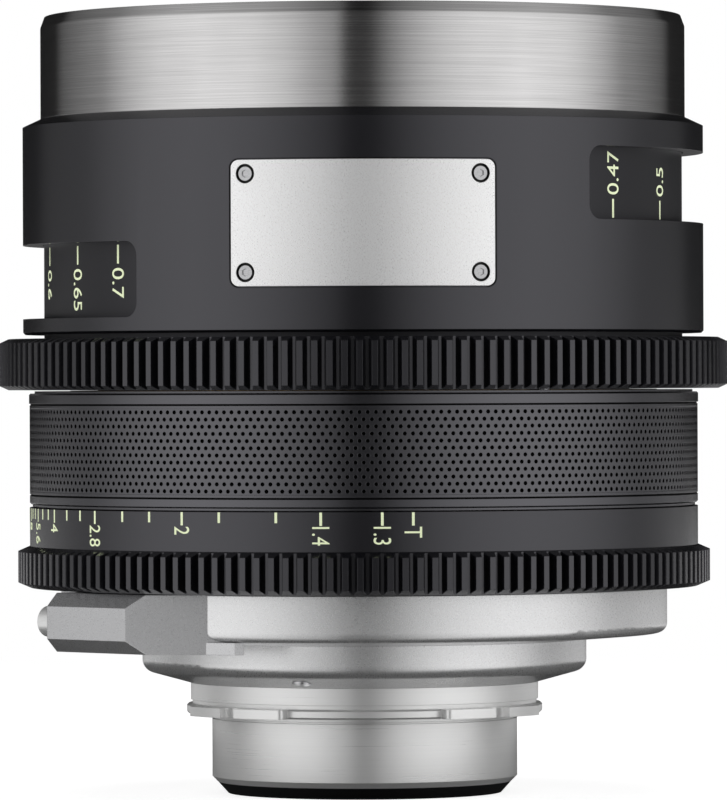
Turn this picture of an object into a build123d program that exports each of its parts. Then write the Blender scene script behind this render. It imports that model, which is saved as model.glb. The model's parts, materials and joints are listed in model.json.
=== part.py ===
from build123d import *
import os
from math import cos, degrees, radians, sin, sqrt, tan

os.makedirs("parts", exist_ok=True)

# Cinema prime lens, in millimetres. The optical axis is Z, the front of the lens is up, and the origin
# is on the axis in the plane of the mount's seat. The name plate faces -Y.
# Angles round the axis are counted from -Y towards +X.

# Clearances
seat_gap = 0.05
run_gap = 0.1
ring_gap = 0.2
overrun = 4.0

# Two radii drive all others: the mount's barrel, and the bore in which the optics slide
mount_radius = 26.99
barrel_bore = 44.0

# Walls and steps outwards from the mount's barrel
mount_wall = 2.39
mount_neck_step = 3.76
mount_flange_step = 0.7
mount_tab_step = 2.55
lower_step_reach = 5.3
mount_bore = mount_radius - mount_wall
mount_neck_radius = mount_radius + mount_neck_step
mount_flange_radius = mount_neck_radius + mount_flange_step
mount_tab_radius = mount_flange_radius + mount_tab_step
lower_step_radius = mount_tab_radius + lower_step_reach

# Walls and steps outwards from the barrel's bore
barrel_wall = 3.0
cam_sleeve_wall = 3.0
cam_flange_reach = 5.1
scale_sleeve_wall = 1.2
scale_sleeve_gap = 0.25
housing_wall = 3.5
shoulder_step = 3.2
focus_gear_wall = 7.95
grip_web_reach = 9.0
grip_wall = 3.1
grip_band_step = 0.1
grip_neck_step = 0.9
grip_lip_step = 0.5
iris_gear_step = 2.1
iris_shell_step = 2.6
iris_shell_wall = 2.0
upper_step_gap = 0.9
barrel_radius = barrel_bore + barrel_wall
cam_sleeve_bore = barrel_radius + run_gap
cam_sleeve_radius = cam_sleeve_bore + cam_sleeve_wall
cam_flange_radius = cam_sleeve_radius + cam_flange_reach
scale_sleeve_bore = cam_flange_radius + seat_gap
scale_sleeve_radius = scale_sleeve_bore + scale_sleeve_wall
housing_bore = scale_sleeve_radius + scale_sleeve_gap
housing_radius = housing_bore + housing_wall
front_ring_radius = housing_radius - shoulder_step
focus_gear_radius = scale_sleeve_radius + focus_gear_wall
grip_bore = barrel_radius + grip_web_reach
grip_radius = grip_bore + grip_wall
grip_band_radius = grip_radius + grip_band_step
grip_neck_radius = grip_radius - grip_neck_step
grip_lip_radius = grip_radius - grip_lip_step
iris_band_radius = grip_radius
iris_gear_radius = iris_band_radius + iris_gear_step
iris_shell_radius = iris_band_radius - iris_shell_step
iris_shell_bore = iris_shell_radius - iris_shell_wall
upper_step_radius = iris_shell_bore - upper_step_gap

# Lengths along the axis, from the mount's seat forwards
mount_barrel_length = 12.2
mount_flange_thickness = 1.67
mount_ledge_width = 0.73
mount_neck_length = 2.97
shim_thickness = 0.2
cone_length = 2.34
lower_step_length = 5.29
underside_rise = 1.1
upper_step_length = 7.9
gear_to_housing = 0.3
iris_gear_width = 7.3
iris_band_width = 6.8
iris_groove_width = 0.6
low_band_width = 1.8
dimple_zone_width = 15.9
high_band_width = 1.8
grip_neck_length = 0.4
focus_gear_width = 9.0
housing_gap = 0.75
housing_length = 36.55
shoulder_length = 1.5
front_ring_length = 18.0
neck_bottom_z = mount_flange_thickness + mount_ledge_width
mount_top_z = neck_bottom_z + mount_neck_length
barrel_rear_z = mount_top_z + shim_thickness
cone_top_z = mount_top_z + cone_length
lower_top_z = cone_top_z + lower_step_length
upper_bottom_z = lower_top_z + underside_rise
upper_top_z = upper_bottom_z + upper_step_length
iris_bottom_z = upper_top_z + gear_to_housing
iris_shoulder_z = iris_bottom_z + iris_gear_width
iris_top_z = iris_shoulder_z + iris_band_width
grip_bottom_z = iris_top_z + iris_groove_width
low_band_top_z = grip_bottom_z + low_band_width
dimple_top_z = low_band_top_z + dimple_zone_width
grip_top_z = dimple_top_z + high_band_width
neck_top_z = grip_top_z + grip_neck_length
gear_bottom_z = neck_top_z + ring_gap
gear_top_z = gear_bottom_z + focus_gear_width
housing_bottom_z = gear_top_z + housing_gap
shoulder_z = housing_bottom_z + housing_length
housing_top_z = shoulder_z + shoulder_length
front_z = housing_top_z + front_ring_length

# Inner barrel, which carries every other fixed piece, and its flange under the grip
web_thickness = 3.0
tail_bore_step = 0.5
tail_spigot_length = 3.03
tail_collar_step = 5.85
tail_collar_length = 7.0
tail_floor_thickness = 6.4
iris_ledge_width = 2.0
tail_bore = mount_bore + tail_bore_step
tail_spigot_radius = mount_neck_radius - seat_gap
tail_collar_radius = mount_neck_radius + tail_collar_step
iris_ledge_bore = barrel_bore - iris_ledge_width
collar_bottom_z = barrel_rear_z + tail_spigot_length
collar_top_z = collar_bottom_z + tail_collar_length
rear_cell_seat_z = barrel_rear_z + tail_floor_thickness
ledge_bore_z = collar_top_z + barrel_wall
barrel_top_z = shoulder_z
grip_web_z = neck_top_z - web_thickness
barrel_web_z = grip_web_z - web_thickness

# Front end: housing web, front cell and the focusing cell behind it
housing_web_thickness = 3.5
ring_web_thickness = 1.5
front_cell_length = 12.9
front_cell_flange = 2.5
focus_cell_setback = 6.5
focus_cell_length = 41.0
roller_setback = 7.0
housing_web_z = housing_top_z - housing_web_thickness
ring_web_top_z = housing_top_z + ring_web_thickness
front_cell_low_z = ring_web_top_z - front_cell_length
front_cell_top_z = ring_web_top_z + front_cell_flange
focus_cell_high = front_cell_low_z - focus_cell_setback
focus_cell_low = focus_cell_high - focus_cell_length
roller_z = focus_cell_high - roller_setback

# Focus: angle of the ring and travel of the focusing group, at rest between the two stops
focus_travel = 8.9
focus_throw = 200.0
focus_back_angle = 159.2
focus_near_angle = focus_throw - focus_back_angle
travel_per_degree = focus_travel / focus_throw
focus_drop = travel_per_degree * focus_back_angle
focus_rise = travel_per_degree * focus_near_angle
follower_count = 3
follower_turn = 20.0
roller_radius = 1.5
cam_slot_width = 2 * (roller_radius + run_gap)
thrust_groove_depth = 1.0
cam_sleeve_top_z = housing_web_z - thrust_groove_depth - run_gap

# Iris: thirteen leaves between a fixed plate and a turning cam ring
blade_count = 13
blade_thickness = 0.1
blade_pitch = 0.15
blade_pivot_radius = 30.5
blade_outer_inset = 0.9
blade_opening_inset = 9.5
blade_pin_step = 0.2
blade_sweep = 100.0
blade_root_angle = -2.0
blade_throat_angle = 20.0
blade_pin_angle = 20.0
blade_ratio = 0.377
blade_lobe_radius = 1.5
blade_ear_radius = 1.2
blade_pin_radius = 0.4
blade_pivot_pin_radius = 0.5
blade_outer_radius = blade_pivot_radius - blade_outer_inset
blade_inner_radius = blade_pivot_radius - blade_opening_inset
blade_pin_circle = blade_pivot_radius + blade_pin_step
iris_open_angle = 93.0
iris_closed_angle = 7.0
iris_plate_thickness = 2.0
iris_cover_thickness = 1.5
iris_web_thickness = 4.0
iris_pin_radius = 0.9
iris_pin_turn = 150.0
iris_pin_depth = 5.0
iris_pin_foot = barrel_bore - iris_pin_depth
iris_pin_head = iris_shell_bore - upper_step_gap / 2
cam_ring_thickness = 3.0
cam_ring_z = iris_top_z - iris_web_thickness / 2 - cam_ring_thickness / 2 + ring_gap / 2
cam_ring_middle_z = cam_ring_z + cam_ring_thickness / 2
iris_plate_z = cam_ring_z - ring_gap - blade_count * blade_pitch - iris_plate_thickness
plate_top_z = iris_plate_z + iris_plate_thickness
cover_z = cam_ring_z + cam_ring_thickness + ring_gap

# Gear teeth, cut to a module that follow-focus drives share
gear_module = 0.8
tooth_depth = 1.75
tooth_tip_land = 1.0
tooth_root_land = 0.5
gear_chamfer_radial = 1.6
gear_chamfer_axial = 0.73
iris_chamfer_axial = 0.9

# Screws: radii of the shank, head and hexagon socket
screw_radius = 0.9
screw_head_radius = 1.7
screw_socket_radius = 0.65
screw_socket_depth = 0.7
screw_slot_width = 0.4


def turned(points):
    """A ring turned about the axis from (radius, z) corners, with an optional corner rounding."""
    corners = [(p[0], p[1]) for p in points]
    rounds = [p[2] if len(p) > 2 else 0 for p in points]
    outline = Plane.XZ * FilletPolyline(*corners, radius=rounds, close=True)
    return revolve(make_face(outline), Axis.Z)


def tube(outer, inner, low, high):
    """A plain ring between two heights."""
    return turned([(inner, low), (outer, low), (outer, high), (inner, high)])


def arc_sector(outer, inner, low, high, start, end):
    """A part of a ring from one angle to another."""
    outline = Plane.XZ * Polyline((inner, low), (outer, low), (outer, high), (inner, high), close=True)
    piece = revolve(make_face(outline), Axis.Z, end - start)
    return Rot(0, 0, start - 90) * piece


def aim(angle):
    """The direction at an angle round the axis, as X and Y shares."""
    return sin(radians(angle)), -cos(radians(angle))


def radial(radius, inner, outer, angle, height):
    """A round rod that points away from the axis."""
    x, y = aim(angle)
    start = Plane(origin=(inner * x, inner * y, height), z_dir=(x, y, 0))
    return extrude(start * Circle(radius), outer - inner)


def upright(radius, low, high, ring_radius, angle):
    """A round rod parallel to the axis."""
    x, y = aim(angle)
    start = Plane(origin=(ring_radius * x, ring_radius * y, low))
    return extrude(start * Circle(radius), high - low)


def spread(count, first):
    """Angles spaced evenly round the axis."""
    return [first + n * 360 / count for n in range(count)]


def save(name, shape):
    parts = shape if isinstance(shape, list) else [shape]
    solids = [solid for part in parts for solid in part.solids()]
    export_step(Compound(solids), f"parts/{name}.step")


# Fasteners
def placed_on_ring(shape, ring_radius, angle, height, up):
    """A shape made upwards from the origin, moved to a place round the axis and perhaps turned over."""
    x, y = aim(angle)
    return Pos(ring_radius * x, ring_radius * y, height) * (shape if up else Rot(180, 0, 0) * shape)


def flat_screw(seat, length, ring_radius, angle, up):
    """A countersunk screw whose head lies flush at height seat and whose tip points up or down."""
    body = turned([
        (0, 0),
        (screw_head_radius, 0),
        (screw_head_radius, run_gap),
        (screw_radius, screw_head_radius - screw_radius + run_gap),
        (screw_radius, length),
        (0, length),
    ])
    body -= extrude(RegularPolygon(screw_socket_radius, 6), screw_socket_depth)
    return placed_on_ring(body, ring_radius, angle, seat, up)


def flat_screw_hole(seat, length, ring_radius, angle, up):
    wide = screw_head_radius + seat_gap
    narrow = screw_radius + seat_gap
    hole = turned([
        (0, -overrun),
        (wide, -overrun),
        (wide, run_gap),
        (narrow, wide - narrow + run_gap),
        (narrow, length + seat_gap),
        (0, length + seat_gap),
    ])
    return placed_on_ring(hole, ring_radius, angle, seat, up)


# Gear teeth: straight gaps cut from a turned blank by a toothed outline
def toothed(blank, tip_radius, low, high):
    teeth = round(2 * tip_radius / gear_module) - 2
    root = tip_radius - tooth_depth
    tip_half = degrees(tooth_tip_land / 2 / tip_radius)
    root_half = 180 / teeth - degrees(tooth_root_land / 2 / root)
    flank = [(root, -root_half), (tip_radius, -tip_half), (tip_radius, tip_half), (root, root_half)]
    corners = []
    for n in range(teeth):
        for radius, turn in flank:
            angle = radians(n * 360 / teeth + turn)
            corners.append((radius * cos(angle), radius * sin(angle)))
    outline = Pos(0, 0, low) * Polyline(*corners, close=True)
    return blank & extrude(make_face(outline), high - low)


# Mount: a flange with four tabs on the barrel that enters the camera
mount_lead = 0.99
mount_relief_depth = 0.3
mount_relief_width = 0.3
mount_relief_offset = 0.7
mount_edge = 0.3
tab_angle = 40.0
tab_count = 4
tab_first = 45.0
tab_corner = 0.8
tab_notch_radius = 1.7
tab_notch_depth = 3.0
mount_screw_count = 6
mount_screw_step = 1.91
mount_screw_length = 9.0
mount_screw_circle = mount_radius + mount_screw_step


def mount_screw_places():
    return spread(mount_screw_count, 0)


def make_mount():
    low = -mount_barrel_length
    relief = mount_radius - mount_relief_depth
    ledge = mount_neck_radius - mount_edge
    body = turned([
        (mount_bore, low),
        (mount_radius - mount_lead, low),
        (mount_radius, low + mount_lead),
        (mount_radius, -mount_relief_offset - mount_relief_width),
        (relief, -mount_relief_offset - mount_relief_width),
        (relief, -mount_relief_offset),
        (mount_radius, -mount_relief_offset),
        (mount_radius, 0),
        (mount_flange_radius - mount_edge, 0),
        (mount_flange_radius, mount_edge),
        (mount_flange_radius, mount_flange_thickness - mount_edge),
        (mount_flange_radius - mount_edge, mount_flange_thickness),
        (ledge, mount_flange_thickness),
        (ledge, neck_bottom_z),
        (mount_neck_radius, neck_bottom_z),
        (mount_neck_radius, mount_top_z),
        (mount_bore, mount_top_z),
    ])
    half = tab_angle / 2
    tab_top = mount_flange_thickness
    centre = mount_tab_radius - tab_notch_depth + tab_notch_radius
    cut_top = tab_top + run_gap
    for angle in spread(tab_count, tab_first):
        tab = arc_sector(mount_tab_radius, mount_radius, 0, tab_top, angle - half, angle + half)
        corners = tab.edges().filter_by(Axis.Z).group_by(SortBy.DISTANCE)[-1]
        tab = fillet(corners, tab_corner)
        x, y = aim(angle)
        notch = upright(tab_notch_radius, -overrun, cut_top, centre, angle)
        along = Plane(origin=(centre * x, centre * y, -overrun), x_dir=(x, y, 0), z_dir=(0, 0, 1))
        slot = along * Pos(overrun / 2, 0) * Rectangle(overrun, 2 * tab_notch_radius)
        body = body + tab - notch - extrude(slot, overrun + cut_top)
    for angle in mount_screw_places():
        body -= flat_screw_hole(0, mount_screw_length, mount_screw_circle, angle, True)
    return body


def make_mount_screws():
    return [flat_screw(0, mount_screw_length, mount_screw_circle, a, True) for a in mount_screw_places()]


def make_shim():
    shim = tube(mount_neck_radius - mount_edge, tail_bore, mount_top_z, barrel_rear_z)
    low = mount_top_z - overrun
    high = barrel_rear_z + overrun
    for angle in mount_screw_places():
        shim -= upright(screw_radius + run_gap, low, high, mount_screw_circle, angle)
    return shim


# Rear baffle, the black cone at the end of the mount barrel
baffle_length = 2.0
baffle_end_inset = 2.79
baffle_rim = 5.7
baffle_spigot_length = 3.0
baffle_spigot_wall = 2.0


def make_rear_baffle():
    top = -mount_barrel_length
    end = mount_radius - baffle_end_inset
    spigot = mount_bore - seat_gap
    return turned([
        (end - baffle_rim, top - baffle_length),
        (end, top - baffle_length),
        (mount_radius - mount_lead, top),
        (spigot, top),
        (spigot, top + baffle_spigot_length),
        (spigot - baffle_spigot_wall, top + baffle_spigot_length),
        (spigot - baffle_spigot_wall, top),
    ])


# Lens elements. A face's rise is how far its middle lies beyond its rim, negative where it is hollow.
# An element's low is the height of its rear rim.
lens_lip = 1.6
front_cell_lip = 1.0
front_element_depth = 5.9
front_element_wall = 6.0
second_element_wall = 9.0
focus_front_wall = 11.0
focus_front_depth = 7.0
focus_middle_wall = 15.0
focus_middle_height = 16.5
focus_rear_wall = 17.0
focus_rear_height = 3.5
rear_cell_neck_step = 1.9
rear_cell_neck_radius = mount_bore + rear_cell_neck_step
rear_cell_radius = mount_bore - run_gap
rear_cell_tail = 3.7
rear_cell_low_z = rear_cell_tail - mount_barrel_length
rear_cell_headroom = 0.85
rear_cell_top_z = iris_plate_z - rear_cell_headroom
rear_front_wall = 4.5
rear_front_depth = 7.0
rear_middle_inset = 1.0
rear_middle_height = 17.0
rear_element_wall = 5.5
rear_element_height = 3.0

front_lens = {
    "radius": barrel_bore - front_element_wall,
    "low": front_cell_top_z - front_element_depth,
    "edge": 4.0,
    "front_rise": 7.93,
    "back_rise": -4.06,
}
second_lens = {
    "radius": barrel_bore - second_element_wall,
    "low": front_cell_low_z + front_cell_lip,
    "edge": 6.0,
    "front_rise": 3.88,
    "back_rise": -6.68,
}
focus_front = {
    "radius": barrel_bore - focus_front_wall,
    "low": focus_cell_high - focus_front_depth,
    "edge": 4.0,
    "front_rise": 8.27,
    "back_rise": 2.74,
}
focus_middle = {
    "radius": barrel_bore - focus_middle_wall,
    "low": focus_cell_low + focus_middle_height,
    "edge": 3.5,
    "front_rise": 8.27,
    "back_rise": 4.8,
}
focus_rear = {
    "radius": barrel_bore - focus_rear_wall,
    "low": focus_cell_low + focus_rear_height,
    "edge": 12.2,
    "front_rise": -4.15,
    "back_rise": -6.42,
}
rear_front = {
    "radius": rear_cell_neck_radius - rear_front_wall,
    "low": rear_cell_top_z - rear_front_depth,
    "edge": 6.6,
    "front_rise": -5.74,
    "back_rise": 3.09,
}
rear_middle = {
    "radius": rear_cell_neck_radius - rear_front_wall - rear_middle_inset,
    "low": rear_cell_low_z + rear_middle_height,
    "edge": 2.5,
    "front_rise": 3.8,
    "back_rise": 3.22,
}
rear_last = {
    "radius": rear_cell_radius - rear_element_wall,
    "low": rear_cell_low_z + rear_element_height,
    "edge": 3.0,
    "front_rise": 2.45,
    "back_rise": -1.65,
}


def face_depth(rise, edge, radius):
    """How far a spherical face lies beyond its rim at a radius, negative where it is hollow."""
    curvature = (edge * edge + rise * rise) / (2 * abs(rise))
    depth = sqrt(curvature * curvature - radius * radius) - (curvature - abs(rise))
    return depth if rise > 0 else -depth


def front_face_z(lens, radius):
    return lens["low"] + lens["edge"] + face_depth(lens["front_rise"], lens["radius"], radius)


def back_face_z(lens, radius):
    return lens["low"] - face_depth(lens["back_rise"], lens["radius"], radius)


def make_lens(lens):
    edge = lens["radius"]
    half = edge / 2
    low = lens["low"]
    high = low + lens["edge"]
    top = front_face_z(lens, 0)
    bottom = back_face_z(lens, 0)
    rear_face = ThreePointArc((0, bottom), (half, back_face_z(lens, half)), (edge, low))
    front_face = ThreePointArc((edge, high), (half, front_face_z(lens, half)), (0, top))
    rim = Line((edge, low), (edge, high))
    axis = Line((0, top), (0, bottom))
    return revolve(make_face(Plane.XZ * (Curve() + [rear_face, rim, front_face, axis])), Axis.Z)


# Rear cell, which holds the rear group inside the mount
rear_cell_flange = 3.0
rear_cell_screw_count = 3
rear_cell_screw_step = 3.9
rear_cell_screw_length = 5.0
rear_cell_rim = 0.5
retainer_gap = 0.1
rear_cell_screw_circle = rear_cell_neck_radius + rear_cell_screw_step
rear_cell_seat_radius = rear_cell_screw_circle + screw_head_radius + rear_cell_rim
rear_cell_flange_z = rear_cell_seat_z + rear_cell_flange
rear_cell_screw_tip_z = rear_cell_flange_z - rear_cell_screw_length


def make_rear_cell():
    last = rear_last["radius"] + seat_gap
    middle = rear_middle["radius"] + seat_gap
    front = rear_front["radius"] + seat_gap
    stop_z = rear_last["low"] + rear_last["edge"]
    body = turned([
        (last, rear_cell_low_z),
        (rear_cell_radius, rear_cell_low_z),
        (rear_cell_radius, rear_cell_seat_z),
        (rear_cell_seat_radius - seat_gap, rear_cell_seat_z),
        (rear_cell_seat_radius - seat_gap, rear_cell_flange_z),
        (rear_cell_neck_radius, rear_cell_flange_z),
        (rear_cell_neck_radius, rear_cell_top_z),
        (front, rear_cell_top_z),
        (front, rear_front["low"] - seat_gap),
        (middle, back_face_z(rear_front, middle) - seat_gap),
        (middle, rear_middle["low"] - seat_gap),
        (middle - lens_lip, back_face_z(rear_middle, middle - lens_lip) - seat_gap),
        (last - lens_lip, front_face_z(rear_last, last - lens_lip) + seat_gap),
        (last, stop_z + seat_gap),
    ])
    length = rear_cell_screw_length
    for angle in spread(rear_cell_screw_count, 0):
        body -= flat_screw_hole(rear_cell_flange_z, length, rear_cell_screw_circle, angle, False)
    return body


def make_rear_cell_screws():
    length = rear_cell_screw_length
    places = spread(rear_cell_screw_count, 0)
    return [flat_screw(rear_cell_flange_z, length, rear_cell_screw_circle, a, False) for a in places]


def make_rear_retainer():
    outer = rear_last["radius"]
    return tube(outer, outer - lens_lip, rear_cell_low_z, rear_last["low"] - retainer_gap)


def make_rear_spacer():
    outer = rear_middle["radius"] - seat_gap
    inner = outer - lens_lip
    return turned([
        (inner, front_face_z(rear_middle, inner) + retainer_gap),
        (outer, front_face_z(rear_middle, outer) + retainer_gap),
        (outer, back_face_z(rear_front, outer) - retainer_gap),
        (inner, back_face_z(rear_front, inner) - retainer_gap),
    ])


# Main barrel, with straight slots for the rollers and a slot for the iris drive pin
grip_screw_count = 6
grip_screw_step = 6.4
grip_screw_length = 4.8
grip_screw_circle = barrel_radius + grip_screw_step
housing_screw_count = 3
housing_screw_first = -18.5
housing_screw_inset = 2.6
housing_screw_head = 1.2
housing_screw_grip = 3.0
housing_screw_sink = 1.0
housing_screw_circle = tail_collar_radius - housing_screw_inset
housing_screw_tip_z = collar_bottom_z + housing_screw_grip
housing_screw_seat_z = mount_top_z + cone_length / 2 + housing_screw_sink


def grip_screw_places():
    return spread(grip_screw_count, 0)


def housing_screw_places():
    return spread(housing_screw_count, housing_screw_first)


def make_main_barrel():
    body = turned([
        (tail_bore, barrel_rear_z),
        (tail_spigot_radius, barrel_rear_z),
        (tail_spigot_radius, collar_bottom_z),
        (tail_collar_radius, collar_bottom_z),
        (tail_collar_radius, collar_top_z),
        (barrel_radius, collar_top_z),
        (barrel_radius, barrel_web_z),
        (grip_bore - seat_gap, barrel_web_z),
        (grip_bore - seat_gap, grip_web_z),
        (barrel_radius, grip_web_z),
        (barrel_radius, barrel_top_z),
        (barrel_bore, barrel_top_z),
        (barrel_bore, iris_plate_z),
        (iris_ledge_bore, iris_plate_z),
        (iris_ledge_bore, ledge_bore_z),
        (rear_cell_seat_radius, ledge_bore_z),
        (rear_cell_seat_radius, rear_cell_seat_z),
        (tail_bore, rear_cell_seat_z),
    ])
    hole = screw_radius + seat_gap
    for angle in mount_screw_places():
        body -= flat_screw_hole(0, mount_screw_length, mount_screw_circle, angle, True)
    for angle in housing_screw_places():
        low = collar_bottom_z - overrun
        body -= upright(hole, low, housing_screw_tip_z + seat_gap, housing_screw_circle, angle)
    for angle in spread(rear_cell_screw_count, 0):
        low = rear_cell_screw_tip_z - seat_gap
        body -= upright(hole, low, rear_cell_seat_z + overrun, rear_cell_screw_circle, angle)
    for angle in grip_screw_places():
        body -= flat_screw_hole(barrel_web_z, grip_screw_length, grip_screw_circle, angle, True)

    inner = barrel_bore - overrun
    outer = barrel_radius + overrun
    low = roller_z - focus_drop
    high = roller_z + focus_rise
    for angle in spread(follower_count, follower_turn):
        for height in (low, high):
            body -= radial(cam_slot_width / 2, inner, outer, angle, height)
        x, y = aim(angle)
        middle = (inner * x, inner * y, (low + high) / 2)
        across = Plane(origin=middle, x_dir=(0, 0, 1), z_dir=(x, y, 0))
        body -= extrude(across * Rectangle(high - low, cam_slot_width), outer - inner)

    half = iris_pin_radius + run_gap
    first = iris_pin_turn - iris_open_angle
    last = iris_pin_turn + iris_closed_angle
    body -= arc_sector(outer, inner, cam_ring_middle_z - half, cam_ring_middle_z + half, first, last)
    for angle in (first, last):
        body -= radial(half, inner, outer, angle, cam_ring_middle_z)
    return body


# Data port: a faceted block let into the rear housing on the operator's side, with its round socket.
# It is made with X pointing out of the lens, Y along the block and Z up, and then turned into place.
port_turn = -45.0
port_proud = 7.1
port_depth = 12.7
port_left = -16.8
port_right = 2.9
port_nose_turn = 40.0
port_drop = 1.1
port_chamfer = 2.3
port_chamfer_angle = 45.0
port_gap = 0.2
port_wall = 1.4
port_foot_thickness = 2.1
port_foot_reach = 16.0
socket_radius = 2.7
socket_bore = 2.2
socket_length = 4.8
socket_depth = 6.0
socket_inset = 4.8
socket_nut_radius = 3.4
socket_nut_length = 1.2
insulator_length = 6.0
contact_radius = 0.3
contact_circle = 1.15
contact_count = 4
contact_first = 45.0
contact_reach = 3.0
port_face = upper_step_radius + port_proud
port_bottom_z = lower_top_z - port_drop
port_top_z = iris_bottom_z - ring_gap
port_middle_z = (port_bottom_z + port_top_z) / 2
socket_distance = port_face - socket_inset
upwards = (Align.CENTER, Align.CENTER, Align.MIN)


def port_placed(shape):
    return Rot(0, 0, port_turn - 90) * shape


def port_block(grow):
    """The faceted block, or the pocket that takes it when grow is a gap all round."""
    low = port_bottom_z - grow
    high = port_top_z + grow
    face = port_face + grow
    back = port_face - port_depth - grow
    cut = port_chamfer + grow * tan(radians(port_chamfer_angle / 2))
    front_edge = [(face - cut, low), (face, low + cut), (face, high - cut), (face - cut, high)]
    past_end = port_right + port_depth + overrun
    section = Plane.XZ.offset(-past_end) * Polyline((back, low), *front_edge, (back, high), close=True)
    body = extrude(make_face(section), past_end - port_left + grow)
    far = 2 * port_face
    nose = Box(far, far, far, align=(Align.MIN, Align.CENTER, Align.CENTER))
    body -= Pos(port_face, port_right, port_middle_z) * Rot(0, 0, port_nose_turn) * Pos(grow, 0, 0) * nose
    corner = (Align.MIN, Align.MIN, Align.MIN)
    foot = Box(port_depth, port_foot_reach, port_foot_thickness + grow, align=corner)
    foot = Pos(back, port_right, low) * foot & tube(upper_step_radius - run_gap, barrel_radius, low, high)
    return port_placed(body + foot) & tube(far, barrel_radius + port_wall - grow, low, high)


def port_rod(radius, start, length, distance, height):
    """A round rod along the block, from start towards its socket end."""
    rod = Rot(90, 0, 0) * Cylinder(radius, length, align=upwards)
    return port_placed(Pos(distance, start, height) * rod)


def make_port_block():
    start = port_left + socket_depth
    hole = port_rod(socket_radius + seat_gap, start, socket_depth + overrun, socket_distance, port_middle_z)
    return port_block(0) - hole


def make_socket():
    end = socket_depth + socket_length
    start = port_left + socket_depth
    shell = port_rod(socket_radius, start, end, socket_distance, port_middle_z)
    nut = port_rod(socket_nut_radius, port_left, socket_nut_length, socket_distance, port_middle_z)
    bore = port_rod(socket_bore, start, end + overrun, socket_distance, port_middle_z)
    return shell + nut - bore


def make_contacts(radius=contact_radius):
    pins = []
    for angle in spread(contact_count, contact_first):
        distance = socket_distance + contact_circle * cos(radians(angle))
        height = port_middle_z + contact_circle * sin(radians(angle))
        length = insulator_length + contact_reach
        pins.append(port_rod(radius, port_left + socket_depth, length, distance, height))
    return pins


def make_insulator():
    start = port_left + socket_depth
    core = port_rod(socket_bore - seat_gap, start, insulator_length, socket_distance, port_middle_z)
    for pin in make_contacts(contact_radius + seat_gap):
        core -= pin
    return core


# Rear housing, the satin grey shell behind the iris ring
housing_corner = 2.3
upper_corner = 1.75


def make_rear_housing():
    body = turned([
        (mount_neck_radius + seat_gap, mount_top_z),
        (lower_step_radius, cone_top_z, housing_corner),
        (lower_step_radius, lower_top_z),
        (upper_step_radius, upper_bottom_z, upper_corner),
        (upper_step_radius, upper_top_z),
        (barrel_radius + seat_gap, upper_top_z),
        (barrel_radius + seat_gap, collar_top_z),
        (tail_collar_radius + seat_gap, collar_top_z),
        (tail_collar_radius + seat_gap, collar_bottom_z),
        (mount_neck_radius + seat_gap, collar_bottom_z),
    ])
    low = mount_top_z - overrun
    for angle in housing_screw_places():
        body -= upright(screw_radius + seat_gap, low, collar_bottom_z + overrun, housing_screw_circle, angle)
        body -= upright(screw_head_radius + seat_gap, low, housing_screw_seat_z, housing_screw_circle, angle)
    return body - port_block(port_gap)


def make_housing_screws():
    low = housing_screw_seat_z - housing_screw_head
    screws = []
    for angle in housing_screw_places():
        screw = upright(screw_head_radius, low, housing_screw_seat_z, housing_screw_circle, angle)
        screw += upright(screw_radius, housing_screw_seat_z, housing_screw_tip_z, housing_screw_circle, angle)
        socket = extrude(RegularPolygon(screw_socket_radius, 6), screw_socket_depth)
        screws.append(screw - placed_on_ring(socket, housing_screw_circle, angle, low, True))
    return screws


# Grip sleeve, fixed between the two rings, with the thrust ring and the stop pin of the focus ring
grip_line_depth = 0.15
grip_line_width = 0.3
grip_edge = 0.25
thrust_ring_step = 1.2
thrust_ring_width = 3.6
stop_step = 1.7
stop_radius = 1.0
stop_turn = 35.0
stop_height = 1.7
stop_sink = 1.8
thrust_inner = cam_sleeve_bore + thrust_ring_step
thrust_outer = thrust_inner + thrust_ring_width
stop_circle = thrust_outer + stop_step


def make_grip_sleeve():
    lip_z = iris_top_z + ring_gap
    groove_z = neck_top_z - thrust_groove_depth
    body = turned([
        (grip_bore, lip_z),
        (grip_lip_radius, lip_z),
        (grip_lip_radius, grip_bottom_z),
        (grip_radius - grip_edge, grip_bottom_z),
        (grip_radius, grip_bottom_z + grip_edge),
        (grip_radius, low_band_top_z - grip_line_width),
        (grip_radius - grip_line_depth, low_band_top_z - grip_line_width),
        (grip_radius - grip_line_depth, low_band_top_z),
        (grip_radius, low_band_top_z),
        (grip_radius, dimple_top_z - grip_line_width),
        (grip_radius - grip_line_depth, dimple_top_z - grip_line_width),
        (grip_radius - grip_line_depth, dimple_top_z),
        (grip_band_radius, dimple_top_z),
        (grip_band_radius, grip_top_z - grip_edge),
        (grip_band_radius - grip_edge, grip_top_z),
        (grip_neck_radius, grip_top_z),
        (grip_neck_radius, neck_top_z),
        (thrust_outer + seat_gap, neck_top_z),
        (thrust_outer + seat_gap, groove_z),
        (thrust_inner - seat_gap, groove_z),
        (thrust_inner - seat_gap, neck_top_z),
        (barrel_radius + seat_gap, neck_top_z),
        (barrel_radius + seat_gap, grip_web_z),
        (grip_bore, grip_web_z),
    ])
    tip = barrel_web_z + grip_screw_length + seat_gap
    for angle in grip_screw_places():
        body -= upright(screw_radius + seat_gap, grip_web_z - overrun, tip, grip_screw_circle, angle)
    stop_floor = neck_top_z - stop_sink
    return body - upright(stop_radius + seat_gap, stop_floor, neck_top_z + overrun, stop_circle, stop_turn)


def make_grip_screws():
    places = grip_screw_places()
    return [flat_screw(barrel_web_z, grip_screw_length, grip_screw_circle, a, True) for a in places]


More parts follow.
